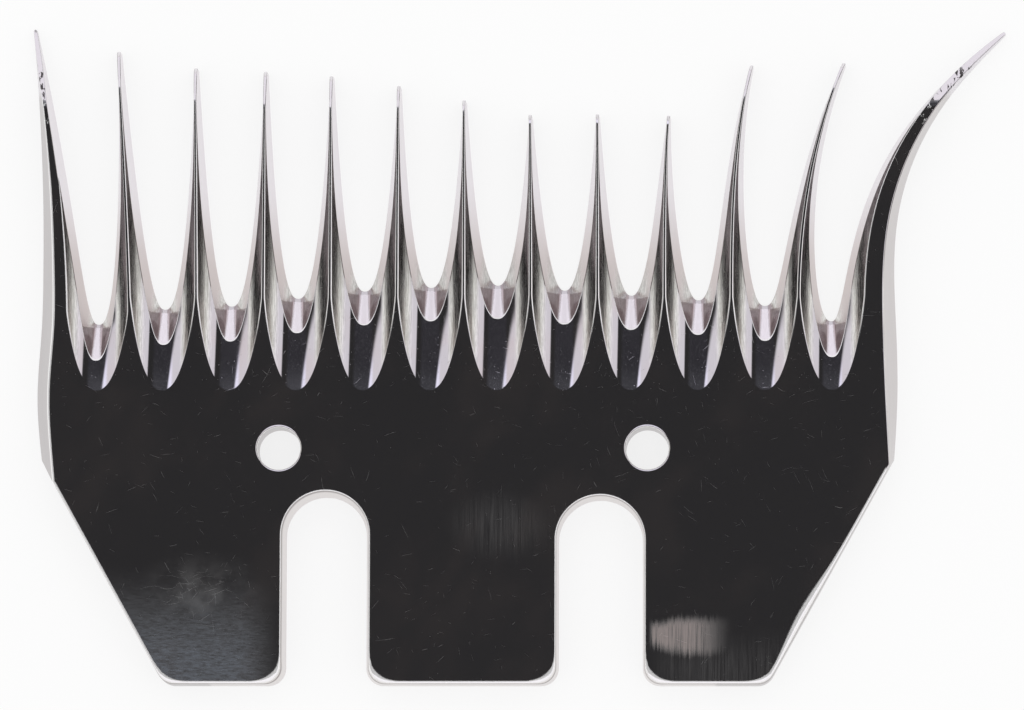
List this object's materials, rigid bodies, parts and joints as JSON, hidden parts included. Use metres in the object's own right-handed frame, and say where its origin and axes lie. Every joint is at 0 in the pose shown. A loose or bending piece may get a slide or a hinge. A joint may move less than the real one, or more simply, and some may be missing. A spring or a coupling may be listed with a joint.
{
  "type": "sheep shearing comb",
  "caption": "Fluted steel bottom blade of a sheep-shearing handpiece, with long pointed teeth, a curled lead tooth, round holes and open clamping slots.",
  "frame": {"origin": "midway between the two round holes, on the flat ground face that the cutter runs on", "axes": "+X across the comb towards the curled lead tooth, +Y towards the tooth tips, +Z out of the fluted skin face"},
  "size_m": [0.0943, 0.0638, 0.0035],
  "materials": {
    "polished_steel": "polished"
  },
  "bodies": {
    "root": {"shearing_comb": "polished_steel"}
  },
  "joints": []
}
